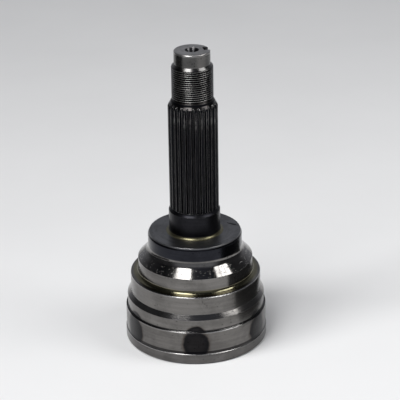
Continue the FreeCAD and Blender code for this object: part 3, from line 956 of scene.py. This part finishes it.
def thread_mesh(thread):
    """A right-hand helical ridge, closed along its root, with chamfered ends."""
    section = thread_section(thread)
    turns = (thread.top - thread.foot) / thread.pitch + 1.0
    steps = round(turns * STEPS_PER_TURN)
    start = thread.foot - thread.pitch / 2
    root = thread.root_radius - ROOT_SINK
    points = []
    for step in range(steps + 1):
        middle = start + thread.pitch * step / STEPS_PER_TURN
        for share, radius in section:
            height = middle + share * thread.pitch
            height = min(max(height, thread.foot), thread.top)
            radius = max(min(radius, crest_limit(thread, height)), root)
            points.append(turned_point(radius, step, STEPS_PER_TURN, height))
    across = len(section)
    faces = sweep_faces(0, across, steps + 1, False)
    faces.append(tuple(range(across)))
    faces.append(tuple(reversed(range(steps * across, (steps + 1) * across))))
    add_end_cone(thread, points, faces)
    mesh = bpy.data.meshes.new("nut_thread")
    mesh.from_pydata(points, [], faces)
    mesh.validate()
    mesh.update()
    return mesh


# ---------------------------------------------------------------- settings

def colour_setting(name, description, default):
    """A linear colour that a user may change."""
    return bpy.props.FloatVectorProperty(
        name=name,
        description=description,
        default=default,
        subtype="COLOR",
        size=3,
        min=0.0,
        max=1.0,
    )


def length_setting(name, description, default):
    """A length in metres that a user may change."""
    return bpy.props.FloatProperty(
        name=name,
        description=description,
        default=default,
        unit="LENGTH",
        subtype="DISTANCE",
        precision=5,
        min=0.0,
    )


def number_setting(name, description, default, least, most):
    """A number that a user may change within limits."""
    return bpy.props.FloatProperty(
        name=name, description=description, default=default, min=least, max=most)


class JOINT_PG_steel(bpy.types.PropertyGroup):
    """Colours of the joint's steels."""

    bell: colour_setting("Bell", "Turned outside of the bell", (0.168, 0.161, 0.154))
    # Also the colour of the highlight painted on the side of the plain end.
    cone: colour_setting("Cones", "Burnished cones of the bell", (0.235, 0.226, 0.217))
    seat: colour_setting("Boot seat", "Ground seat of the boot", (0.150, 0.143, 0.137))
    lip: colour_setting("Lip", "Lip round the mouth of the bell", (0.122, 0.117, 0.114))
    flange: colour_setting("Flange", "Side of the bearing flange", (0.025, 0.026, 0.032))
    face: colour_setting("Bearing face", "Ground face of the flange", (0.38, 0.38, 0.385))
    # Also the colour of the shade painted in the centre hole and in the staking slot.
    journal: colour_setting("Journal", "Oiled bearing journal", (0.019, 0.019, 0.022))
    spline: colour_setting("Spline", "Oiled hub spline", (0.0058, 0.0061, 0.0080))
    thread: colour_setting("Thread root", "Oiled roots of the nut thread", (0.03, 0.028, 0.027))
    crest: colour_setting("Thread crest", "Crests of the nut thread", (0.235, 0.231, 0.226))
    # Also the colour of the highlight painted on the spline's crowns.
    pilot: colour_setting("Pilot", "Plain end of the stub", (0.095, 0.094, 0.092))
    end_face: colour_setting("End face", "End face of the stub", (0.42, 0.41, 0.40))
    # Also the colour of the highlight painted on the bell's turned edges.
    worn: colour_setting("Worn edge", "Bare steel on worn edges", (0.70, 0.69, 0.68))
    bore: colour_setting("Bore", "Ground tracks and bore of the bell", (0.26, 0.25, 0.24))
    well: colour_setting("Well", "Scaled well behind the bore", (0.05, 0.046, 0.043))
    oil: colour_setting("Caught oil", "Oil in the fillets", (0.18, 0.166, 0.10))
    heat_core: colour_setting("Heat mark", "Middle of a heat mark", (0.0105, 0.0097, 0.0110))
    # Also the colour of the shade painted in the bell's corners.
    heat_ring: colour_setting("Heat ring", "Dark ring of a heat mark", (0.0032, 0.0032, 0.0048))
    heat_fringe: colour_setting("Heat fringe", "Edge of a heat mark", (0.05, 0.034, 0.024))
    race: colour_setting("Inner race", "Ground inner race", (0.30, 0.29, 0.28))
    cage: colour_setting("Cage", "Blackened cage", (0.028, 0.028, 0.030))
    ball: colour_setting("Balls", "Polished balls", (0.55, 0.55, 0.54))
    wire: colour_setting("Ring", "Spring wire of the retaining ring", (0.14, 0.13, 0.12))


class JOINT_PG_thread(bpy.types.PropertyGroup):
    """Sizes of the hub nut's thread."""

    radius: length_setting("Radius", "Outside radius of the thread", 0.012)
    root_radius: length_setting("Root radius", "Radius at the roots", 0.011233)
    pitch: length_setting("Pitch", "Distance from turn to turn", 0.00125)
    foot: length_setting("Foot", "Height of the lower end", 0.1493)
    top: length_setting("Top", "Height of the upper end", 0.1695)
    chamfer_slope: number_setting(
        "Chamfer slope", "Radius gained for each length along the end chamfers", 0.9, 0.1, 4.0)


class JOINT_PG_stage(bpy.types.PropertyGroup):
    """Floor, light and camera."""

    floor: colour_setting("Floor", "Colour of the paper", (0.80, 0.80, 0.80))
    box_radiance: number_setting(
        "Softbox radiance", "Brightness of the softboxes as they are reflected", 9.0, 0.0, 50.0)
    key_strength: number_setting(
        "Key strength",
        "Light that the key throws on a surface facing it, in watts a square metre",
        1.5, 0.0, 20.0)
    world_strength: number_setting(
        "Room brightness", "Brightness of the room's walls and ceiling", 1.0, 0.0, 5.0)
    focal_length: number_setting(
        "Focal length", "Focal length of the camera in millimetres", 155.871, 10.0, 400.0)


# ---------------------------------------------------------------- stage

# Floor: its radius, the radius that is open under the bell, the steps round it, and how far
# it lies under the mouth.
FLOOR_RADIUS = 8.0
FLOOR_OPENING = 0.036
FLOOR_STEPS = 64
FLOOR_DROP = 0.0002

# Softbox panes: name, direction from the joint, direction of the width, offset along it,
# width, height and share of the radiance. The right box has two bars, the left one a bar
# near its outer edge. All are at one distance from the point that they face.
AIM = Vector((0.0, 0.0, 0.06))
BOX_DISTANCE = 0.9
LEFT_BOX = ((-0.31, -0.349, 0.88), (0.9125, -0.3685, 0.179))
RIGHT_BOX = ((0.638, -0.136, 0.754), (0.6105, 0.711, -0.350))
SOFTBOX_PANES = (
    ("softbox_left_edge", *LEFT_BOX, -0.135, 0.05, 0.56, 0.5),
    ("softbox_left", *LEFT_BOX, 0.048, 0.296, 0.56, 1.0),
    ("softbox_right_1", *RIGHT_BOX, -0.1595, 0.115, 0.54, 0.45),
    ("softbox_right_2", *RIGHT_BOX, -0.03, 0.115, 0.54, 0.6),
    ("softbox_right_3", *RIGHT_BOX, 0.0995, 0.115, 0.54, 0.6),
)

# Key light: the direction that it comes from, and its spread.
KEY_DIRECTION = (-0.70, -0.32, 0.64)
KEY_SPREAD_DEG = 24.0

# Black cards: name and corners on the floor, and how far they lie over the mouth's plane.
FLAGS = (
    ("flag_right", ((0.066, -0.042), (0.30, -0.16), (0.33, 0.24), (0.072, 0.07))),
    ("flag_left", ((-0.27, -0.15), (-0.27, 0.17), (-0.75, 0.42), (-0.75, -0.38))),
)
FLAG_HEIGHT = 0.0004

# Camera: its place, its tilt downwards, its roll, the shift of its frame and its sensor.
CAMERA_PLACE = (0.00217, -0.92074, 0.49709)
CAMERA_PITCH_DEG = 24.03
CAMERA_ROLL_DEG = -0.90
CAMERA_SHIFT = (0.005, -0.0035)
SENSOR_WIDTH_MM = 36.0

# The room: its brightness from the horizon upwards. Its side walls are darker: the cosines,
# from straight ahead or behind, between which they end, and their share of the light. Then
# where it turns white under the horizon, how bright the camera sees it, and the least value
# under the square root in build_room.
ROOM_STOPS = (
    (0.00, (0.35, 0.36, 0.39)),
    (0.54, (0.33, 0.34, 0.37)),
    (0.67, (0.08, 0.086, 0.105)),
    (0.84, (0.045, 0.05, 0.066)),
    (1.00, (0.045, 0.05, 0.066)),
)
SIDE_WALLS = (0.45, 0.9)
SIDE_SHARE = 0.15
BELOW_HORIZON = (-0.02, -0.1)
SEEN_ROOM = 0.8
LEAST_SQUARE = 0.0001


def link(thing):
    """Puts an object in the scene."""
    bpy.context.scene.collection.objects.link(thing)
    return thing


def add_pane(name, direction, along, distance, width, height, across, radiance):
    """One flat pane of light that faces the joint, its width along a direction, moved across."""
    lamp = bpy.data.lights.new(name, "AREA")
    lamp.shape = "RECTANGLE"
    lamp.size = width
    lamp.size_y = height
    lamp.energy = radiance * math.pi * width * height
    pane = link(bpy.data.objects.new(name, lamp))
    outward = Vector(direction).normalized()
    upward = outward.cross(Vector(along)).normalized()
    wide = upward.cross(outward)
    turn = Matrix((wide, upward, outward)).transposed().to_4x4()
    pane.matrix_world = Matrix.Translation(AIM + outward * distance + wide * across) @ turn
    pane.visible_camera = False
    return pane


def build_floor(stage):
    """A wide floor, open inside the mouth of the bell so that light from below goes in."""
    points = []
    for step in range(FLOOR_STEPS):
        for radius in (FLOOR_OPENING, FLOOR_RADIUS):
            points.append(turned_point(radius, step, FLOOR_STEPS, -FLOOR_DROP))
    faces = []
    for near in range(0, 2 * FLOOR_STEPS, 2):
        far = (near + 2) % (2 * FLOOR_STEPS)
        faces.append((near, near + 1, far + 1, far))
    mesh = bpy.data.meshes.new("floor")
    mesh.from_pydata(points, [], faces)
    mesh.materials.append(floor_finish(stage))
    link(bpy.data.objects.new("floor", mesh))


def build_key(stage):
    """A wide, even key from the left, so that the joint's shadow falls to its right."""
    lamp = bpy.data.lights.new("key", "SUN")
    lamp.energy = stage.key_strength
    lamp.angle = math.radians(KEY_SPREAD_DEG)
    key = link(bpy.data.objects.new("key", lamp))
    key.rotation_euler = Vector(KEY_DIRECTION).to_track_quat("Z", "Y").to_euler()
    key.visible_glossy = False


def build_flag(name, corners):
    """A black card on the floor that only the reflections in the metal show."""
    mesh = bpy.data.meshes.new(name)
    mesh.from_pydata([(x, y, FLAG_HEIGHT) for x, y in corners], [], [(0, 1, 2, 3)])
    mesh.materials.append(card_finish())
    flag = link(bpy.data.objects.new(name, mesh))
    flag.visible_camera = False
    flag.visible_diffuse = False
    flag.visible_shadow = False


def build_room(stage):
    """A dim room: mid grey near the horizon, dark overhead, pale where the camera sees it."""
    world = bpy.data.worlds.new("studio")
    bpy.context.scene.world = world
    world.use_nodes = True
    graph = Graph(world.node_tree)
    background = world.node_tree.nodes["Background"]
    split = graph.add("ShaderNodeSeparateXYZ")
    graph.feed(split.inputs[0], graph.add("ShaderNodeTexCoord").outputs["Generated"])
    y, height = split.outputs["Y"], split.outputs["Z"]
    room = graph.stops(height, ROOM_STOPS)
    square = graph.maths("MAXIMUM", graph.outside(graph.product(height, height)), LEAST_SQUARE)
    ahead = graph.maths("DIVIDE", graph.maths("ABSOLUTE", y), graph.maths("SQRT", square))
    room = graph.scaled(room, graph.ramp_between(ahead, *SIDE_WALLS, SIDE_SHARE, 1.0))
    room = graph.mix(graph.ramp_between(height, *BELOW_HORIZON), room, opaque(grey(1.0)))
    seen = graph.add("ShaderNodeLightPath").outputs["Is Camera Ray"]
    graph.feed(background.inputs["Color"], graph.mix(seen, room, opaque(grey(SEEN_ROOM))))
    graph.feed(background.inputs["Strength"], stage.world_strength)


def build_camera(stage):
    """The camera, a little above and in front."""
    lens = bpy.data.cameras.new("Camera")
    lens.sensor_width = SENSOR_WIDTH_MM
    lens.lens = stage.focal_length
    lens.shift_x, lens.shift_y = CAMERA_SHIFT
    camera = link(bpy.data.objects.new("Camera", lens))
    pitch = Matrix.Rotation(math.pi / 2 - math.radians(CAMERA_PITCH_DEG), 4, "X")
    roll = Matrix.Rotation(math.radians(CAMERA_ROLL_DEG), 4, "Z")
    camera.matrix_world = Matrix.Translation(Vector(CAMERA_PLACE)) @ pitch @ roll
    bpy.context.scene.camera = camera


# ---------------------------------------------------------------- operators

class JOINT_OT_outer_race(bpy.types.Operator):
    """Finish the bell and its stub axle"""

    bl_idname = "joint.outer_race"
    bl_label = "Outer race"

    def execute(self, context):
        dress("outer_race", outer_race_finish(context.scene.joint_steel))
        return {"FINISHED"}


class JOINT_OT_nut_thread(bpy.types.Operator):
    """Cut the thread of the hub nut on the stub axle"""

    bl_idname = "joint.nut_thread"
    bl_label = "Nut thread"

    def execute(self, context):
        thread = context.scene.joint_thread
        if thread.top <= thread.foot:
            raise RuntimeError("The thread's top has to be above its foot.")
        mesh = thread_mesh(thread)
        mesh.materials.append(thread_finish(context.scene.joint_steel, thread))
        for face in mesh.polygons:
            face.use_smooth = True
        mesh.set_sharp_from_angle(angle=math.radians(THREAD_SHARP_DEG))
        piece = link(bpy.data.objects.new("nut_thread", mesh))
        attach(piece, "outer_race")
        return {"FINISHED"}


class JOINT_OT_inner_race(bpy.types.Operator):
    """Finish the inner race and its retaining ring"""

    bl_idname = "joint.inner_race"
    bl_label = "Inner race and ring"

    def execute(self, context):
        steel = context.scene.joint_steel
        dress("inner_race", plain_part_finish(
            "ground_race", steel.race, steel.worn,
            roughness=0.20, rings=6.0, oil_share=0.25, grain_bump=0.3))
        dress("retaining_ring", plain_part_finish(
            "spring_wire", steel.wire, steel.worn,
            roughness=0.30, rings=14.0, oil_share=0.30, grain_bump=0.2))
        return {"FINISHED"}


class JOINT_OT_cage(bpy.types.Operator):
    """Finish the ball cage"""

    bl_idname = "joint.cage"
    bl_label = "Cage"

    def execute(self, context):
        steel = context.scene.joint_steel
        dress("cage", plain_part_finish(
            "blackened_cage", steel.cage, steel.bell,
            roughness=0.36, rings=5.0, oil_share=0.35, grain_bump=0.4))
        return {"FINISHED"}


class JOINT_OT_balls(bpy.types.Operator):
    """Finish the six balls"""

    bl_idname = "joint.balls"
    bl_label = "Balls"

    def execute(self, context):
        steel = context.scene.joint_steel
        finish = plain_part_finish(
            "polished_ball", steel.ball, steel.ball,
            roughness=0.07, rings=9.0, oil_share=0.12, grain_bump=0.08)
        for name in sorted(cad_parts):
            if name.startswith("ball_"):
                dress(name, finish)
        return {"FINISHED"}


class JOINT_OT_stage(bpy.types.Operator):
    """Set the floor, the lights, the room and the camera"""

    bl_idname = "joint.stage"
    bl_label = "Stage"

    def execute(self, context):
        stage = context.scene.joint_stage
        build_floor(stage)
        for name, direction, along, across, width, height, share in SOFTBOX_PANES:
            add_pane(name, direction, along, BOX_DISTANCE, width, height, across,
                     stage.box_radiance * share)
        build_key(stage)
        for name, corners in FLAGS:
            build_flag(name, corners)
        build_room(stage)
        build_camera(stage)
        context.scene.view_settings.view_transform = "Standard"
        return {"FINISHED"}


PIECE_OPERATORS = (
    JOINT_OT_outer_race,
    JOINT_OT_nut_thread,
    JOINT_OT_inner_race,
    JOINT_OT_cage,
    JOINT_OT_balls,
    JOINT_OT_stage,
)

SETTINGS = (
    ("joint_steel", JOINT_PG_steel),
    ("joint_thread", JOINT_PG_thread),
    ("joint_stage", JOINT_PG_stage),
)


class VIEW3D_PT_joint(bpy.types.Panel):
    """Pieces and settings of the joint"""

    bl_label = "Constant-velocity joint"
    bl_space_type = "VIEW_3D"
    bl_region_type = "UI"
    bl_category = "Joint"

    def draw(self, context):
        layout = self.layout
        for operator in PIECE_OPERATORS:
            layout.operator(operator.bl_idname)
        for name, group in SETTINGS:
            box = layout.box()
            settings = getattr(context.scene, name)
            for setting in group.__annotations__:
                box.prop(settings, setting)


CLASSES = tuple(group for name, group in SETTINGS) + PIECE_OPERATORS + (VIEW3D_PT_joint,)


def register():
    for made in CLASSES:
        bpy.utils.register_class(made)
    for name, group in SETTINGS:
        setattr(bpy.types.Scene, name, bpy.props.PointerProperty(type=group))


def unregister():
    for name, group in SETTINGS:
        delattr(bpy.types.Scene, name)
    for made in reversed(CLASSES):
        bpy.utils.unregister_class(made)


def main():
    register()
    bpy.ops.joint.outer_race()
    bpy.ops.joint.nut_thread()
    bpy.ops.joint.inner_race()
    bpy.ops.joint.cage()
    bpy.ops.joint.balls()
    bpy.ops.joint.stage()


if __name__ == "__main__":
    main()
